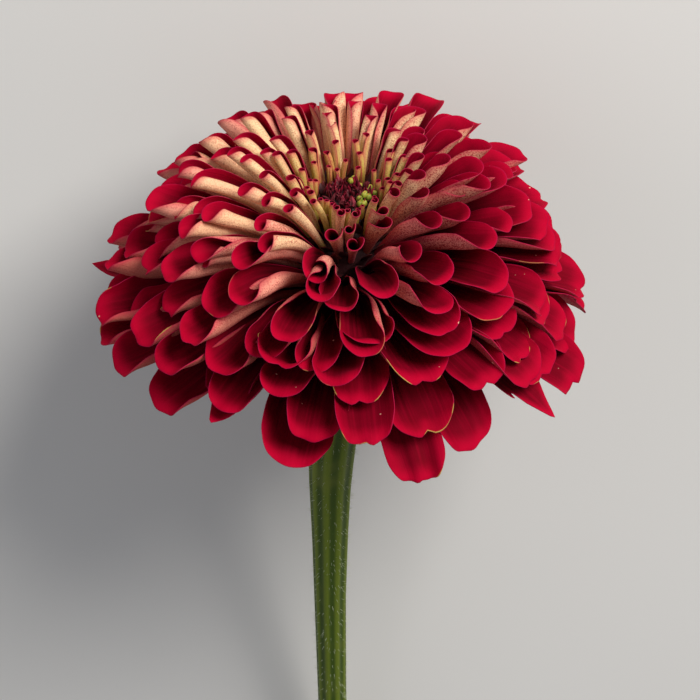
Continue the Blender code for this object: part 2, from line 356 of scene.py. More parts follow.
class Petal:
    """One ray petal's own measures: what its age and its side of the head give it, and what chance adds."""

    def __init__(self, number):
        chance = random.Random(SEED * 1000 + int(2 * number))
        age = (number + 0.5) / PETALS
        self.age = age + chance.gauss(0, 0.006) if age > 0 else age
        loose = 3.2 + 1.6 * float(ease(0.6, 0.4, self.age))
        self.turn = number * GOLDEN_ANGLE + math.radians(chance.gauss(0, loose))
        self.near, self.left = math.sin(self.turn), math.cos(self.turn)
        self.rim = float(ease(0.6, 0.85, self.age))
        self.set_form(chance)
        self.set_surface(chance)
        self.single_out(number)

    def set_form(self, chance):
        """Its size, bend and roll. The petals open more on the head's right and on its near side."""
        age, near, left, rim = self.age, self.near, self.left, self.rim
        right = max(-left, 0.0)
        front = max(near, 0.0) ** 5
        grow = float(ease(0.1, 0.4 - 0.14 * right, age))
        hollow = front * float(ease(0.55, 0.28, age))  # the step in the head's near side
        opened = (0.07 if near > 0 else 0.10) * near - 0.12 * max(left, 0.0) + 0.45 * right**1.2
        ripe = age + (opened + chance.gauss(0, 0.045)) * grow - 0.12 * hollow
        self.length = grown(age, LENGTH) * MM * chance.gauss(1, 0.045) * min(1.0, 1 + 4 * age)
        self.length *= 1 - 0.24 * hollow + (0.05 * (1 - near**2) - 0.05 * front) * rim
        self.width = grown(age, WIDTH) * MM * chance.uniform(0.90, 1.10) * (1 - 0.25 * hollow)
        self.claw = grown(age, CLAW)
        self.base_angle = grown(age, BASE_ANGLE) + chance.uniform(-3, 3)
        self.tip_angle = grown(age, TIP_ANGLE) + chance.gauss(0, 5) + (14 * front - 5) * rim
        self.hook = grown(ripe, HOOK) * chance.uniform(0.4, 1.4) * (1 + 0.5 * min(left, 0.0))
        spread = chance.uniform(0.90, 1.06)
        self.rolls = [grown(ripe, rolls) * spread for rolls in (ROLL_LOW, ROLL_MIDDLE, ROLL_TIP)]
        if rim and left > -0.3:
            self.rolls[2] += chance.uniform(0, 45) * rim * (0.3 + left)
        sense = 1 if chance.random() < 0.5 + 0.4 * left else -1
        lopsided = chance.uniform(0.08, 0.30) * float(ease(0.05, 0.2, age)) * (1 - 0.5 * rim)
        self.skew = sense * (0.07 + lopsided)
        self.twist = math.radians(chance.gauss(0, 9)) * (0.4 + age)
        self.sway = chance.gauss(0, 0.035 + 0.03 * float(ease(0.6, 0.4, age)))

    def set_surface(self, chance):
        """Its pleats, waves, torn tip and colour, and the lip where a cup's tip turns back down."""
        age = self.age
        self.pleats = 0.16 * MM * float(ease(0.35, 0.7, age)) * chance.uniform(0.6, 1.5)
        self.pleat_phase = chance.uniform(0, math.tau)
        self.wave = 0.7 * MM * float(ease(0.25, 0.8, age)) * chance.uniform(0.3, 1.3)
        self.wave_phase = chance.uniform(0, math.tau)
        self.waves = chance.uniform(1.2, 2.4)
        self.notch = chance.choice((0.0, 0.0, 0.02, 0.035)) * float(ease(0.5, 0.8, age))
        self.teeth = chance.uniform(0.004, 0.014) * float(ease(0.3, 0.7, age))
        self.point = 0.0
        self.round_tip = 1.0
        self.tint = chance.random()
        self.dry = chance.random()
        self.shade = 0.5 - 0.5 * math.cos(self.turn + FLUSH_TURN)
        self.lip = chance.uniform(15, 55) * float(ease(0.3, 0.55, age) * ease(-0.5, 0.2, self.near))

    def single_out(self, number):
        """Gives the few petals that differ from their neighbours their own measures."""
        self.tip_angle -= LOWERED.get(number, 0)
        if number in STRETCHED_PETALS:
            self.length *= 1.10
            self.width *= 0.86
            self.tip_angle += 17
            self.hook = -24
            self.round_tip = 1.6
            self.rolls = [roll * 0.8 for roll in self.rolls]
        if number in SPLIT_PETALS:
            self.point = 0.22
            self.length *= 1.08
            self.lip = 0
            self.rolls[2] *= 0.6
        if number == HANGING_PETAL:
            self.turn = math.radians(HANGING)
            self.length, self.width = HANGING_SIZE
            self.tip_angle = -50
            self.hook = self.lip = 0
            self.wave = 0.3 * MM
            self.pleats = 0.35 * MM
            self.teeth = 0.018
            self.rolls = [26, 22, 16]
        if number == COVERING_PETAL:
            self.turn = math.radians(COVERING)
            self.length = COVERING_LENGTH
            self.tip_angle = -30

    def start(self):
        """Where it starts: a little inside the receptacle's skin, but the youngest a little outside it."""
        radius = float(np.interp(self.age, CONE_PLACES, CONE_RADII)) * min(1.0, 1 + 2.6 * self.age)
        height = float(np.interp(self.age, CONE_PLACES, CONE_HEIGHTS)) + 8 * MM * max(0.0, -self.age)
        return radius + 2.6 * MM * float(ease(0.3, 0.0, self.age)) - 0.3 * MM, height

    def midrib(self, steps=160):
        """Shares of the length, with the radius, height and angle of the midrib at each."""
        share = np.linspace(0, 1, steps + 1)
        bend = (self.tip_angle - self.base_angle) * share**1.4
        curl = self.hook * ease(0.68, 1.0, share) - self.lip * ease(0.88, 1.0, share)
        angle = np.radians(self.base_angle + bend + curl)
        middle = (angle[1:] + angle[:-1]) / 2
        radius, height = self.start()
        radii = radius + np.concatenate([[0], np.cumsum(np.cos(middle))]) * self.length / steps
        heights = height + np.concatenate([[0], np.cumsum(np.sin(middle))]) * self.length / steps
        return share, radii, heights, angle

    def outline(self, across):
        """The share of the length at which each line along the petal ends: a round, wavy tip."""
        round_end = 0.42 * self.round_tip * self.width / self.length
        round_end *= float(np.interp(self.age, (0, 0.2, 0.36), (0.35, 0.6, 1.0)))
        ends = 1 - round_end * (1 - np.sqrt(np.maximum(1 - across**2, 0.0)))
        ends -= self.notch * np.exp(-((across / 0.14) ** 2))
        ends -= self.point * (np.abs(across - 0.3) + 0.5 * np.exp(-(((across + 0.25) / 0.13) ** 2)))
        return ends - self.teeth * (1 - np.cos(across * 9 + self.pleat_phase)) / 2

    def half_width(self, along):
        """Half the width, measured round the roll."""
        rise = self.claw + (1 - self.claw) * ease(0.0, 0.74, along)
        return rise * (1 - 0.10 * ease(0.8, 1.0, along)) * self.width / 2

    def sheet(self, rows, columns):
        """The middle of the petal's thickness, and along, across and distance to the margin in mm."""
        share, radii, heights, angles = self.midrib()
        across = closer_at_ends(columns, math.pi / 2 * 0.94)
        ends = self.outline(across)
        down = np.linspace(0, 1, rows + 1)
        down = down + 0.12 * np.sin(down * math.pi) * down
        along = down[:, None] * ends[None, :]
        radius, height = np.interp(along, share, radii), np.interp(along, share, heights)
        angle = np.interp(along, share, angles)
        half = self.half_width(along)

        side, rise = self.rolled(along, across, half)
        reach = radius - np.sin(angle) * rise
        points = np.stack(
            [
                reach * math.cos(self.turn) - side * math.sin(self.turn),
                reach * math.sin(self.turn) + side * math.cos(self.turn),
                height + np.cos(angle) * rise,
            ],
            axis=2,
        )
        margin = np.minimum((1 - np.abs(across))[None, :] * half, (ends[None, :] - along) * self.length)
        place = np.stack([along, np.broadcast_to(across[None, :], along.shape), margin / MM], axis=2)
        return points, place

    def rolled(self, along, across, half):
        """How far each point lies to the side of the midrib and above it, with the margins rolled up."""
        low, middle, tip = (math.radians(roll) for roll in self.rolls)
        roll = low + (middle - low) * ease(0.15, 0.6, along) + (tip - middle) * ease(0.66, 1.0, along)
        roll = roll * (1 + self.skew * across[None, :])
        samples = (np.arange(ROLL_SAMPLES) + 0.5) / ROLL_SAMPLES
        power = 1.0 + 0.6 * float(ease(0.45, 0.75, self.age))
        turned = roll[..., None] * (np.abs(across)[None, :, None] * samples) ** power
        side = half * across[None, :] * np.cos(turned).mean(axis=2)
        rise = half * np.abs(across)[None, :] * np.sin(turned).mean(axis=2)

        pleated = np.cos(across * 7.5 + self.pleat_phase)[None, :] * ease(0.1, 0.6, along)
        ripple = np.sin(along * math.tau * self.waves + self.wave_phase + across[None, :])
        waved = ripple * across[None, :] ** 2 * ease(0.3, 0.8, along)
        rise = rise + self.pleats * pleated + self.wave * waved
        twist = self.twist * along
        twisted = side * np.cos(twist) - rise * np.sin(twist)
        rise = side * np.sin(twist) + rise * np.cos(twist)
        return twisted + self.sway * self.length * along**2, rise

    def add_to(self, shape, rows, columns):
        """Adds the petal to a shape, thinner towards its margins and its tip."""
        points, place = self.sheet(rows, columns)
        thick = 0.07 * MM + 0.08 * MM * ease(0.0, 1.2, place[..., 2]) * (1 - 0.5 * place[..., 0])
        add_sheet(shape, lay(points), thick, place, self.age, (self.tint, self.dry, self.shade))


def build_petals(name, numbers, grid, material):
    """One piece that holds the petals of these numbers."""
    shape = Shape()
    for number in numbers:
        Petal(number).add_to(shape, *grid)
    return shape.finish(name, material)


def own(piece, node):
    """Ties a piece to the frame: it rides on the one body and stands for its CAD solid."""
    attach(piece, "root")
    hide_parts(node)
    return piece


def build_all_petals(material):
    """The quills and the spoons in rings, as the frame has them, and each of the oldest on its own."""
    for whorl in range(QUILL_WHORLS):
        numbers = range(whorl * WHORL if whorl else -YOUNGEST, (whorl + 1) * WHORL)
        ring = build_petals(f"quill_ring_{whorl + 1}", numbers, QUILL_GRID, material)
        own(ring, f"quill_whorl_{whorl + 1}")
    first = QUILL_WHORLS * WHORL
    chance = random.Random(SEED)
    for whorl in range(SPOON_WHORLS):
        numbers = list(range(first + whorl * WHORL, first + (whorl + 1) * WHORL))
        nested = [number + 0.5 for number in numbers if chance.random() < NESTED * whorl / SPOON_WHORLS]
        numbers += [number for number in nested if number not in LEFT_OUT]
        ring = build_petals(f"spoon_ring_{whorl + 1}", numbers, SPOON_GRID, material)
        own(ring, f"spoon_whorl_{whorl + 1}")
    first += SPOON_WHORLS * WHORL
    for number in range(first, PETALS):
        count = number - first + 1
        petal = build_petals(f"broad_petal_{count:02d}", [number], BROAD_GRID, material)
        own(petal, f"outer_petal_{count:02d}")


# ---------------------------------------------------------------- shader maths


class Wire:
    """A socket's value in a material. Working with it in Python adds Math nodes to that material."""

    def __init__(self, paint, socket):
        self.paint, self.socket = paint, socket

    def __add__(self, other):
        return self.paint.math("ADD", self, other)

    def __sub__(self, other):
        return self.paint.math("SUBTRACT", self, other)

    def __mul__(self, other):
        return self.paint.math("MULTIPLY", self, other)

    def __rsub__(self, other):
        return self.paint.math("SUBTRACT", other, self)

    __radd__, __rmul__ = __add__, __mul__


class Paint:
    """A material made of nodes round one Principled shader, whose even values are set on its sockets."""

    def __init__(self, name, even=None):
        self.material = bpy.data.materials.new(name)
        self.material.use_nodes = True
        self.tree = self.material.node_tree
        self.shader = self.tree.nodes["Principled BSDF"]
        for socket, value in (even or {}).items():
            self.shader.inputs[socket].default_value = value

    def node(self, kind, settings=None, sockets=None, out=0):
        """Adds a node: its settings are set first, then its sockets get values or links."""
        made = self.tree.nodes.new(kind)
        for name, value in (settings or {}).items():
            setattr(made, name, value)
        for name, value in (sockets or {}).items():
            if isinstance(value, Wire):
                self.tree.links.new(value.socket, made.inputs[name])
            else:
                made.inputs[name].default_value = value
        return Wire(self, made.outputs[out])

    def math(self, operation, first, second):
        return self.node("ShaderNodeMath", {"operation": operation}, {0: first, 1: second})

    def step(self, value, low, high):
        """0 at low, 1 at high, and smooth between."""
        sockets = {"Value": value, "From Min": low, "From Max": high}
        return self.node("ShaderNodeMapRange", {"interpolation_type": "SMOOTHSTEP"}, sockets)

    def mix(self, share, first, second):
        """Two colours mixed, each a colour of three numbers or a Wire."""
        first = first if isinstance(first, Wire) else (*first, 1)
        second = second if isinstance(second, Wire) else (*second, 1)
        return self.node("ShaderNodeMix", {"data_type": "RGBA"}, {0: share, 6: first, 7: second}, 2)

    def trait(self, name):
        """The three values of a trait that the mesh carries."""
        vector = self.node("ShaderNodeAttribute", {"attribute_name": name}, {}, "Vector")
        split = self.node("ShaderNodeSeparateXYZ", {}, {0: vector}).socket.node
        return [Wire(self, output) for output in split.outputs]

    def vector(self, x, y, z):
        return self.node("ShaderNodeCombineXYZ", {}, {0: x, 1: y, 2: z})

    def noise(self, vector, scale, detail=3.0, roughness=0.5):
        sockets = {"Vector": vector, "Scale": scale, "Detail": detail, "Roughness": roughness}
        return self.node("ShaderNodeTexNoise", {}, sockets)

    def object_place(self):
        """Where a point is, in metres."""
        return self.node("ShaderNodeTexCoord", {}, {}, "Object")

    def finish(self, colour, roughness=None, bump=None, height=0.0):
        """The material, with what changes over the surface. height is the bump's, in metres."""
        self.tree.links.new(colour.socket, self.shader.inputs["Base Color"])
        if roughness is not None:
            self.tree.links.new(roughness.socket, self.shader.inputs["Roughness"])
        if bump is not None:
            sockets = {"Height": bump, "Strength": 1.0, "Distance": height}
            normal = self.node("ShaderNodeBump", {}, sockets)
            self.tree.links.new(normal.socket, self.shader.inputs["Normal"])
        return self.material


def petal_skin():
    """Velvety crimson inside, with painted shade deep in the roll; outside cream near the disc, dusty rose
    on the old petals; magenta rims, partly a painted highlight.
    """
    velvet = {"Sheen Weight": 0.09, "Sheen Roughness": 0.35, "Sheen Tint": (1.0, 0.05, 0.14, 1)}
    paint = Paint("petal_skin", {"Specular IOR Level": 0.04, **velvet})
    along, across, margin = paint.trait("place")
    side, rim, age = paint.trait("kind")
    tint, dry, shade = paint.trait("mood")
    spot = paint.object_place()

    streaks = paint.noise(paint.vector(across * 9.0, along * 0.9, tint * 40.0), 1.0, 4.0, 0.6)
    grain = paint.noise(spot, 3400.0, 2.0, 0.6)
    cloud = paint.noise(spot, 160.0, 2.0, 0.5)

    inside = inside_colour(paint, along, margin, age, streaks, cloud)
    freckles = paint.step(grain, 0.44, 0.62)
    outside = outside_colour(paint, along, margin, age, tint, shade, streaks, freckles)
    colour = paint.mix(paint.step(side, 0.45, 0.55), inside, outside)
    near_edge = 1 - paint.step(margin, 0.0, 0.24)
    colour = paint.mix(near_edge * 0.6, colour, MAGENTA_EDGE)
    # The rim strip: partly its own magenta, partly a painted highlight along the edge
    colour = paint.mix(rim * 0.9, colour, MAGENTA_RIM_AND_HIGHLIGHT)
    cells = paint.node("ShaderNodeTexVoronoi", {}, {"Vector": spot, "Scale": 260.0})
    colour = paint.mix(1 - paint.step(cells + cloud * 0.3, 0.155, 0.185), colour, POLLEN)
    withered = paint.step(cloud + dry * 0.35 - margin * 0.5, 0.84, 0.90) * paint.step(age, 0.5, 0.8)
    colour = paint.mix(withered * paint.step(along, 0.6, 0.8), colour, WITHERED)
    return paint.finish(colour, 0.65 + 0.2 * grain, streaks * 0.9 + grain * 0.25, 0.00012)


def inside_colour(paint, along, margin, age, streaks, cloud):
    """Nearly black in the depth of the roll, partly the petal's own dark and partly painted shade, and
    crimson where the petal opens, with darker clouds.
    """
    # Painted shade, partly the petal's own darker colour: dark far from the margins, towards the foot and
    # in the young quills
    roll_depth_and_shade = 0.62 * paint.step(margin, 0.3, 4.0)
    open_part = paint.step(along, 0.45, 1.0) * (1 - roll_depth_and_shade) * (0.3 + 0.7 * paint.step(age, 0.1, 0.42))
    colour = paint.mix(open_part, DARK_CRIMSON_AND_SHADE, CRIMSON)
    colour = paint.mix(paint.step(streaks, 0.42, 0.70) * 0.28, colour, CRIMSON_STREAK)
    return paint.mix(paint.step(cloud, 0.50, 0.75) * 0.4, colour, DEEP_RED)


def outside_colour(paint, along, margin, age, tint, shade, streaks, freckles):
    """Yellow-green quills, cream spoons, rosy old petals, and red freckles on the side that is flushed."""
    quill = paint.mix(paint.step(along, 0.2, 1.0), QUILL_FOOT, QUILL_YELLOW)
    cream = paint.mix(paint.step(along, 0.02, 0.4), CREAM_FOOT, CREAM)
    colour = paint.mix(paint.step(age, 0.05, 0.24), quill, cream)
    wear = paint.step(age + (tint - 0.5) * 0.3 + shade * 0.12, 0.3, 0.62)
    colour = paint.mix(wear, colour, SALMON)
    colour = paint.mix(paint.step(age, 0.5, 0.85), colour, OLD_ROSE)
    flush = paint.step(shade, 0.6, 1.0) * paint.step(age, 0.15, 0.4)
    colour = paint.mix(flush * 0.5, colour, RED_FLUSH)
    flecks = 0.16 + 0.45 * paint.step(streaks, 0.4, 0.7) + 0.55 * shade * paint.step(age, 0.05, 0.3)
    colour = paint.mix(freckles * flecks, colour, RED_FLECK)
    colour = paint.mix((1 - paint.step(margin, 0.1, 1.7)) * 0.6, colour, MAGENTA_MARGIN)
    blush = (1 - paint.step(along, 0.2, 0.7)) * paint.step(age, 0.15, 0.35) * shade
    return paint.mix(blush * 0.7, colour, MAGENTA_FOOT)


# ---------------------------------------------------------------- disc


def build_disc():
    """A dark button of pointed chaffy scales, lower in the middle."""
    chance = random.Random(SEED + 1)
    shape = Shape()
    # The button under the scales, nearly black in disc_skin as painted shade between them
    add_turned(shape, ((0.0, 1.0), (2.0, 1.3), (3.6, 1.6), (4.5, 1.0), (4.7, 0.0)), DISC_FOOT)
    for number in range(DISC_SCALES):
        share = (number + 0.5) / DISC_SCALES
        radius = DISC_REACH * math.sqrt(share)
        turn = number * GOLDEN_ANGLE
        length = chance.uniform(1.9, 3.2) * MM * (0.62 + 0.38 * share)
        width = chance.uniform(0.32, 0.52) * MM
        lean = math.radians(chance.uniform(-30, 6))  # towards the middle
        add_scale(shape, radius, DISC_FOOT + 0.9 * MM, turn, lean, length, width, chance)
    own(shape.finish("disc_chaff", disc_skin()), "disc_florets")


def add_turned(shape, profile, foot, sides=48, kind=0.0):
    """A surface turned from radii and heights in mm above the foot."""
    around = np.linspace(0, math.tau, sides + 1)
    radii = np.array([radius for radius, _ in profile])[:, None] * MM
    heights = np.array([height for _, height in profile])[:, None] * MM + foot
    points = np.stack([radii * np.cos(around), radii * np.sin(around), heights + 0 * around], axis=2)
    traits = np.zeros((points.shape[0] * points.shape[1], 3))
    traits[:, 0] = kind
    faces = grid_faces(points.shape[0] - 1, sides)
    shape.add(lay(points).reshape(-1, 3), faces, kind=traits)


def add_scale(shape, radius, height, turn, lean, length, width, chance, bend=0.9):
    """One narrow scale, folded along its middle and ending in a ragged point."""
    rows, columns = 8, 4
    along = np.linspace(0, 1, rows + 1)[:, None]
    across = np.linspace(-1, 1, columns + 1)[None, :]
    half = width * (0.7 + 0.3 * np.sin(along * math.pi)) * np.clip((1.02 - along) / 0.45, 0.0, 1.0) ** 0.7
    ragged = chance.uniform(0.0, 0.25) * np.sin(along * 19 + chance.uniform(0, 6)) * np.abs(across)
    side = half * across * (1 + ragged)
    bow = lean + chance.uniform(-0.5, 1.0) * bend * along
    out = length * along * np.sin(bow) + 0.5 * np.abs(side)
    up = length * along * np.cos(bow) + 0 * across
    spin = turn + chance.uniform(-0.5, 0.5) * bend
    points = np.stack(
        [
            radius * math.cos(turn) + out * math.cos(spin) - side * math.sin(spin),
            radius * math.sin(turn) + out * math.sin(spin) + side * math.cos(spin),
            height + up,
        ],
        axis=2,
    )
    margin = (1 - np.abs(across)) * half / MM
    place = np.stack([along + 0 * across, across + 0 * along, margin], axis=2)
    half_thickness = np.full(margin.shape, SCALE_HALF)
    add_sheet(shape, lay(points), half_thickness, place, 0.0, (chance.random(), 1.0, 0.0))


def disc_skin():
    """Painted shade, nearly black, at the scales' feet and on the button under them, with crimson points.
    """
    paint = Paint("disc_skin", {"Specular IOR Level": 0.35})
    along, _, _ = paint.trait("place")
    tint, _, _ = paint.trait("mood")
    grain = paint.noise(paint.object_place(), 3000.0)
    # Painted shade: nearly black at the scales' feet and on the button, dark crimson further up
    colour = paint.mix(paint.step(along, 0.2, 1.0), (0.012, 0.001, 0.002), (0.12, 0.0015, 0.010))
    colour = paint.mix(paint.step(tint, 0.6, 0.95) * along, colour, (0.33, 0.004, 0.030))
    colour = paint.mix(paint.step(grain, 0.55, 0.8) * 0.4, colour, (0.06, 0.003, 0.004))
    return paint.finish(colour, 0.45 + 0.2 * grain, grain, 0.00005)


def build_buds():
    """Round unopened disc florets, yellow-green, between the chaff and the first quills."""
    chance = random.Random(SEED + 2)
    shape = Shape()
    for _ in range(BUDS):
        turn = math.radians(chance.gauss(BUD_SIDE, 48))
        radius = chance.uniform(3.4, 5.3) * MM
        size = chance.uniform(0.42, 0.66) * MM
        height = DISC_FOOT + chance.uniform(1.6, 3.0) * MM
        add_bud(shape, radius, turn, height, size, chance.random())
    own(shape.finish("disc_buds", bud_skin()), "disc_florets")


def add_bud(shape, radius, turn, height, size, tint, rows=12, sides=16):
    """A five-lobed bud, pinched in at the top where its lobes meet."""
    down = np.linspace(0.02, math.pi * 0.86, rows + 1)[:, None]
    around = np.linspace(0, math.tau, sides + 1)[None, :]
    swell = size * (1 + 0.10 * np.cos(5 * around) * np.sin(down)) * np.sin(down)
    lift = size * (1.25 * np.cos(down) - 0.35 * np.exp(-((down / 0.35) ** 2)))
    points = np.stack(
        [
            radius * math.cos(turn) + swell * np.cos(around),
            radius * math.sin(turn) + swell * np.sin(around),
            height + lift + 0 * around,
        ],
        axis=2,
    )
    along, lobe = down / math.pi + 0 * around, np.cos(5 * around) + 0 * down
    place = np.stack([along, lobe, 0 * lobe], axis=2).reshape(-1, 3)
    mood = np.tile(np.array((tint, 0.0, 0.0)), (len(place), 1))
    shape.add(lay(points).reshape(-1, 3), grid_faces(rows, sides), place=place, mood=mood)


def bud_skin():
    """Yellow-green, darker between the lobes and tawny where they meet."""
    paint = Paint("bud_skin", {"Specular IOR Level": 0.4})
    along, lobe, _ = paint.trait("place")
    tint, _, _ = paint.trait("mood")
    green = paint.mix(tint, (0.19, 0.24, 0.022), (0.42, 0.42, 0.050))
    colour = paint.mix(1 - paint.step(along, 0.02, 0.16), green, (0.50, 0.20, 0.03))
    colour = paint.mix((1 - paint.step(lobe, -1.0, -0.6)) * 0.6, colour, (0.07, 0.13, 0.015))
    grain = paint.noise(paint.object_place(), 2500.0)
    return paint.finish(colour, 0.35 + 0.2 * grain, grain, 0.00004)


# ---------------------------------------------------------------- under the head


def bowl_at(angle, offset):
    """A point of the bowl under the head, offset along its normal: radius and height."""
    foot_to_rim = RIM_RADIUS - BOWL_FOOT
    radius = BOWL_FOOT + foot_to_rim * np.sin(angle)
    height = RIM_HEIGHT - BOWL_DEPTH * np.cos(angle)
    out, down = np.sin(angle) / foot_to_rim, np.cos(angle) / BOWL_DEPTH
    size = np.hypot(out, down)
    return radius + offset * out / size, height - offset * down / size


def build_bracts(material):
    """Three rows of rounded green scales with dark fringed edges that overlap like tiles."""
    chance = random.Random(SEED + 3)
    for order, (name, count, low, high) in enumerate(BRACT_ROWS):
        shape = Shape()
        for number in range(count):
            turn = math.tau * (number + 0.25 + 0.5 * order) / count
            add_bract(shape, order, turn, math.radians(low), math.radians(high), count, chance)
        own(shape.finish(f"bract_row_{name}", material), f"bracts_{name}")


def add_bract(shape, order, turn, low, high, count, chance, rows=18, columns=16):
    """One bract against the bowl, dished and a little tilted, so that its row's next one tucks under it."""
    across = closer_at_ends(columns, 1.45)
    ends = 1 - 0.42 * (1 - np.sqrt(np.maximum(1 - across**2, 0))) - 0.012 * np.abs(np.sin(across * 24))
    along = np.linspace(0, 1, rows + 1)[:, None] * ends[None, :] * chance.uniform(0.95, 1.03)
    offset = BRACT_CLEARANCE + 0.3 * MM + order * BRACT_STEP
    dish = 0.5 * MM * (along**2) * (1 - across[None, :] ** 2) - 0.35 * MM * np.abs(across)[None, :] ** 3
    tilt = 0.35 * MM * across[None, :] * along
    radius, height = bowl_at(low + (high - low) * along, offset + dish + tilt)
    spread = math.tau / count * 0.62 * (1 - 0.15 * along**2)
    around = turn + spread * across[None, :]
    points = np.stack([radius * np.cos(around), radius * np.sin(around), height], axis=2)
    to_side = (1 - np.abs(across))[None, :] * BRACT_HALF_WIDTH
    margin = np.minimum(to_side, (ends[None, :] - along) * BRACT_LENGTH)
    place = np.stack([along, np.broadcast_to(across[None, :], along.shape), margin], axis=2)
    thick = 0.22 * MM * (1 - 0.5 * np.abs(across)[None, :]) * (1.1 - along) + 0.06 * MM
    mood = (chance.random(), 0, 0)
    # Mirrored, so that the sheet's upper side is the bract's outside
    add_sheet(shape, lay(points)[:, ::-1], thick[:, ::-1], place[:, ::-1], order / 3, mood)


def bract_skin():
    """Green with fine veins, paler at the foot, and a nearly black fringe."""
    paint = Paint("bract_skin")
    along, across, margin = paint.trait("place")
    tint, _, _ = paint.trait("mood")
    veins = paint.noise(paint.vector(across * 7.0, along * 0.8, tint * 20.0), 1.0, 3.0)
    grain = paint.noise(paint.object_place(), 1500.0)
    colour = paint.mix(paint.step(veins, 0.35, 0.7), (0.065, 0.125, 0.018), (0.17, 0.25, 0.04))
    colour = paint.mix(paint.step(along, 0.75, 0.1) * 0.4, colour, (0.30, 0.36, 0.10))
    fringe = 1 - paint.step(margin + grain * 0.5, 0.5, 1.1)
    colour = paint.mix(fringe * 0.92, colour, (0.022, 0.010, 0.010))
    return paint.finish(colour, 0.5 + 0.2 * grain, veins + grain * 0.3, 0.0001)


def build_receptacle():
    """The cone that the petals stand on, with the dark chaff between them, and the green bowl below."""
    chance = random.Random(SEED + 5)
    shape = Shape()
    cone = [(radius / MM, height / MM) for radius, height in zip(CONE_RADII[::4], CONE_HEIGHTS[::4])]
    angles = np.radians(np.arange(84, -1, -6))
    bowl = [(radius / MM, height / MM) for radius, height in zip(*bowl_at(angles, 0.0))]
    # The cone, kind 1, is painted nearly black in base_skin: painted shade among the petals' feet
    add_turned(shape, [(0.0, cone[0][1] + 0.2), *cone, bowl[0]], 0.0, 72, 1.0)
    add_turned(shape, [*bowl, (0.0, bowl[-1][1])], 0.0, 72, 0.0)
    for number in range(CHAFF):
        age = (number + 0.5) / CHAFF
        turn = number * GOLDEN_ANGLE + 1.0
        radius = float(np.interp(age, CONE_PLACES, CONE_RADII)) - 0.3 * MM
        height = float(np.interp(age, CONE_PLACES, CONE_HEIGHTS))
        lean = math.radians(90 - grown(age, BASE_ANGLE) + chance.uniform(0, 12))
        length = grown(age, LENGTH) * MM * chance.uniform(0.26, 0.36)
        add_scale(shape, radius, height, turn, lean, length, chance.uniform(0.8, 1.2) * MM, chance, 0.4)
    own(shape.finish("flower_base", base_skin()), "receptacle")


def base_skin():
    """Green below, and nearly black above as painted shade among the petals' feet; the chaff is nearly
    black too, with red-brown points.
    """
    paint = Paint("base_skin")
    along, _, _ = paint.trait("place")
    upper, _, _ = paint.trait("kind")
    tint, scale, _ = paint.trait("mood")
    grain = paint.noise(paint.object_place(), 1500.0)
    colour = paint.mix(paint.step(grain, 0.4, 0.7), (0.05, 0.10, 0.012), (0.10, 0.17, 0.03))
    # Painted shade: the cone nearly black among the petals' feet; the chaff takes the same dark
    colour = paint.mix(paint.step(upper + scale, 0.4, 0.6), colour, (0.035, 0.002, 0.004))
    colour = paint.mix(paint.step(along, 0.3, 1.0) * tint, colour, (0.22, 0.020, 0.022))
    return paint.finish(colour, 0.5 + 0.2 * grain, grain, 0.0001)


# ---------------------------------------------------------------- stem


def smooth_route(steps):
    """Side, height and radius of the stem, eased between the stated places."""
    route = np.array(STEM_ROUTE)
    heights = np.linspace(route[0, 1], route[-1, 1], steps)
    curve = [np.interp(heights, route[::-1, 1], route[::-1, column]) for column in (0, 2)]
    window = np.hanning(max(5, steps // 12))
    window /= window.sum()
    pad = len(window) // 2
    eased = [np.convolve(np.pad(line, pad, mode="edge"), window, mode="same")[pad:-pad] for line in curve]
    return eased[0] * MM, heights * MM, eased[1] * STEM_RADIUS


def stem_point(share, around, route, lift=0.0):
    """A point on the ribbed stem: share of the way down, angle round it, and lift off its skin."""
    sides, heights, radii = route
    place = share * (len(heights) - 1)
    index = np.arange(len(heights))
    side, height = np.interp(place, index, sides), np.interp(place, index, heights)
    radius = np.interp(place, index, radii)
    ribs = 1 + 0.035 * np.cos(RIBS * around + 1.3 * share) + 0.012 * np.cos(2 * around + 4 * share + 1)
    reach = radius * (ribs - 0.02) + lift
    return np.stack([side + reach * np.cos(around), reach * np.sin(around), height + 0 * around], axis=-1)


def build_stem():
    """A ribbed stem with short stiff hairs and a plain cut at its end. Its kind is 1 there, 2 on hairs."""
    chance = random.Random(SEED + 4)
    route = smooth_route(240)
    rows, sides = 230, 72
    share = np.linspace(0, 1, rows + 1)[:, None] + np.zeros((1, sides + 1))
    around = np.linspace(0, math.tau, sides + 1)[None, :] + np.zeros((rows + 1, 1))
    points = stem_point(share, around, route)
    place = np.stack([share, around / math.tau, np.cos(RIBS * around + 1.3 * share)], axis=2).reshape(-1, 3)
    shape = Shape()
    shape.add(placed_on_table(points).reshape(-1, 3), grid_faces(rows, sides)[:, ::-1], place=place)
    add_cut(shape, points[-1])
    for _ in range(HAIRS):
        add_hair(shape, chance, route)
    own(shape.finish("ribbed_stem", stem_skin()), "stem")


def add_cut(shape, edge):
    """The stem's cut end, a little sunk towards its pith."""
    centre = edge[:-1].mean(axis=0)
    shares = np.array(CUT_RINGS)
    disc = centre + (edge - centre)[None] * shares[:, None, None]
    disc[..., 2] += np.array(CUT_DIPS)[:, None] * MM
    kind = np.zeros((disc.shape[0] * disc.shape[1], 3))
    kind[:, 0] = 1.0
    kind[:, 1] = np.repeat(shares, disc.shape[1])
    faces = grid_faces(disc.shape[0] - 1, disc.shape[1] - 1)[:, ::-1]
    shape.add(placed_on_table(disc).reshape(-1, 3), faces, kind=kind)


def placed_on_table(points):
    """The stem's points on the table, not eased up to it as the petals are."""
    matrix = np.array(LAY)
    placed = points @ matrix[:3, :3].T + matrix[:3, 3]
    placed[..., 2] = np.maximum(placed[..., 2], 0.0)
    return placed


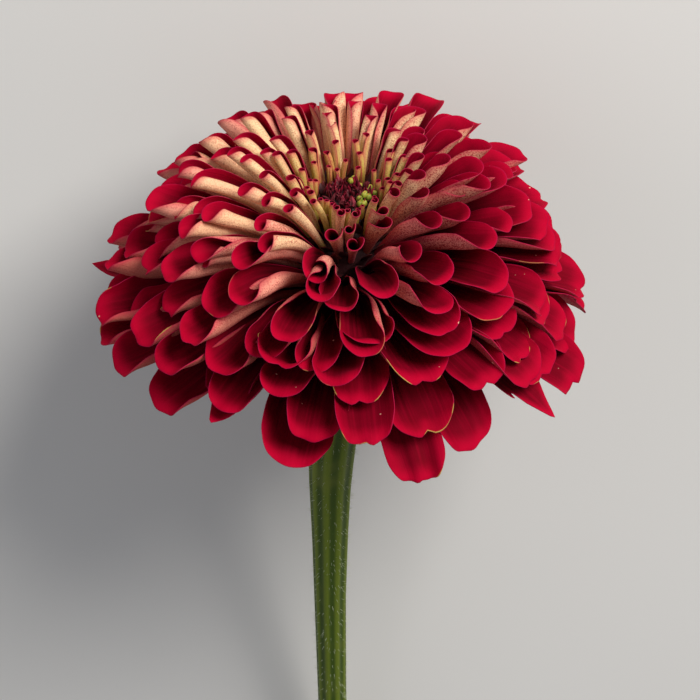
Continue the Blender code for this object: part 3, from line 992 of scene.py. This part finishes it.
def add_hair(shape, chance, route):
    """A stiff white hair: a thin three-sided spike that leans off the skin."""
    share = chance.uniform(0.02, 0.99)
    around = chance.uniform(0, math.tau)
    length = chance.uniform(0.5, 1.3) * MM
    foot = stem_point(np.array(share), np.array(around), route, -0.05 * MM)
    tip = stem_point(np.array(share + chance.uniform(-0.004, 0.004)), np.array(around), route, length)
    out = (tip - foot) / np.linalg.norm(tip - foot)
    first = np.cross(out, (0.0, 0.0, 1.0))
    second = np.cross(out, first)
    corners = [foot + HAIR_WIDTH * (first * math.cos(a) + second * math.sin(a)) for a in (0.0, 2.1, 4.2)]
    points = np.array([*corners, tip, tip + 0.004 * MM * first])
    faces = np.array([[0, 1, 4, 3], [1, 2, 4, 3], [2, 0, 4, 3]])
    kind = np.tile(np.array((2.0, 0.0, 0.0)), (5, 1))
    shape.add(placed_on_table(points), faces, kind=kind)


def stem_skin():
    """Green with paler ribs and yellower clouds, the pale pith of the cut end, and whitish hairs."""
    paint = Paint("stem_skin", {"Specular IOR Level": 0.25})
    _, _, rib = paint.trait("place")
    part, ring, _ = paint.trait("kind")
    spot = paint.object_place()
    cloud = paint.noise(spot, 90.0)
    grain = paint.noise(spot, 1800.0)
    colour = paint.mix(paint.step(rib, -0.9, 0.9), (0.040, 0.072, 0.003), (0.125, 0.170, 0.010))
    colour = paint.mix(paint.step(cloud, 0.5, 0.8) * 0.5, colour, (0.18, 0.20, 0.03))
    colour = paint.mix(paint.step(grain, 0.55, 0.75) * 0.4, colour, (0.05, 0.11, 0.015))
    pith = paint.mix(paint.step(ring, 0.72, 0.9), (0.52, 0.50, 0.30), (0.16, 0.24, 0.05))
    colour = paint.mix(paint.step(part, 0.4, 0.6), colour, pith)
    colour = paint.mix(paint.step(part, 1.4, 1.6), colour, (0.55, 0.60, 0.42))
    return paint.finish(colour, 0.45 + 0.2 * grain, grain + cloud, 0.00008)


# ---------------------------------------------------------------- stage


def add_stage():
    """A plain pale floor and an even, slightly cool sky."""
    bpy.ops.mesh.primitive_plane_add(size=6)
    floor = bpy.context.object
    floor.name = "floor"
    paint = Paint("floor_paper", {"Roughness": 0.9})
    tone = paint.noise(paint.object_place(), 30.0)
    floor.data.materials.append(paint.finish(paint.mix(tone * 0.2, (0.67, 0.66, 0.64), (0.63, 0.62, 0.60))))

    world = bpy.data.worlds.new("studio")
    bpy.context.scene.world = world
    world.use_nodes = True
    world.node_tree.nodes["Background"].inputs["Color"].default_value = (0.90, 0.93, 1.0, 1)
    world.node_tree.nodes["Background"].inputs["Strength"].default_value = WORLD_LIGHT


def view_axes():
    """The camera's right, up and backward directions."""
    lean = TILT - CAMERA_RISE
    back = Vector((0, math.sin(lean), math.cos(lean)))
    up = Vector((0, -math.cos(lean), math.sin(lean)))
    return up.cross(back), up, back


def add_camera():
    """Looks down at the head, with its near side below the disc and its stem running down."""
    right, up, back = view_axes()
    aim = LAY @ Vector((0, 0, -3 * MM)) + right * 0.5 * MM - up * CAMERA_DROP
    data = bpy.data.cameras.new("camera")
    data.sensor_width = SENSOR_WIDTH
    data.lens = data.sensor_width * CAMERA_DISTANCE / FRAME_WIDTH
    camera = bpy.data.objects.new("camera", data)
    turn = Matrix((right, up, back)).transposed().to_4x4()
    camera.matrix_world = Matrix.Translation(aim + back * CAMERA_DISTANCE) @ turn
    bpy.context.scene.collection.objects.link(camera)
    bpy.context.scene.camera = camera


def add_light(name, place, size, power, colour):
    """A soft area light that looks at the head, placed along the camera's right, up and back."""
    right, up, back = view_axes()
    head = LAY @ Vector((0, 0, 12 * MM))
    data = bpy.data.lights.new(name, "AREA")
    data.size, data.energy, data.color = size, power, colour
    light = bpy.data.objects.new(name, data)
    light.location = head + right * place[0] + up * place[1] + back * place[2]
    light.rotation_mode = "QUATERNION"
    light.rotation_quaternion = (light.location - head).to_track_quat("Z", "Y")
    bpy.context.scene.collection.objects.link(light)


def add_lights():
    """A warm key light from above on the right, and a weak cool one from the left."""
    add_light("key", (0.50, 0.40, 0.76), 0.50, 12.0, (1.0, 0.97, 0.92))
    add_light("fill", (-0.8, -0.1, 0.7), 0.8, 1.4, (0.95, 0.97, 1.0))


# ---------------------------------------------------------------- making it all


def set_tones():
    """Colours are shown as they are, so that the crimson stays deep."""
    bpy.context.scene.view_settings.view_transform = "Standard"


set_tones()
add_stage()
add_camera()
add_lights()
build_all_petals(petal_skin())
build_disc()
build_buds()
build_bracts(bract_skin())
build_receptacle()
build_stem()
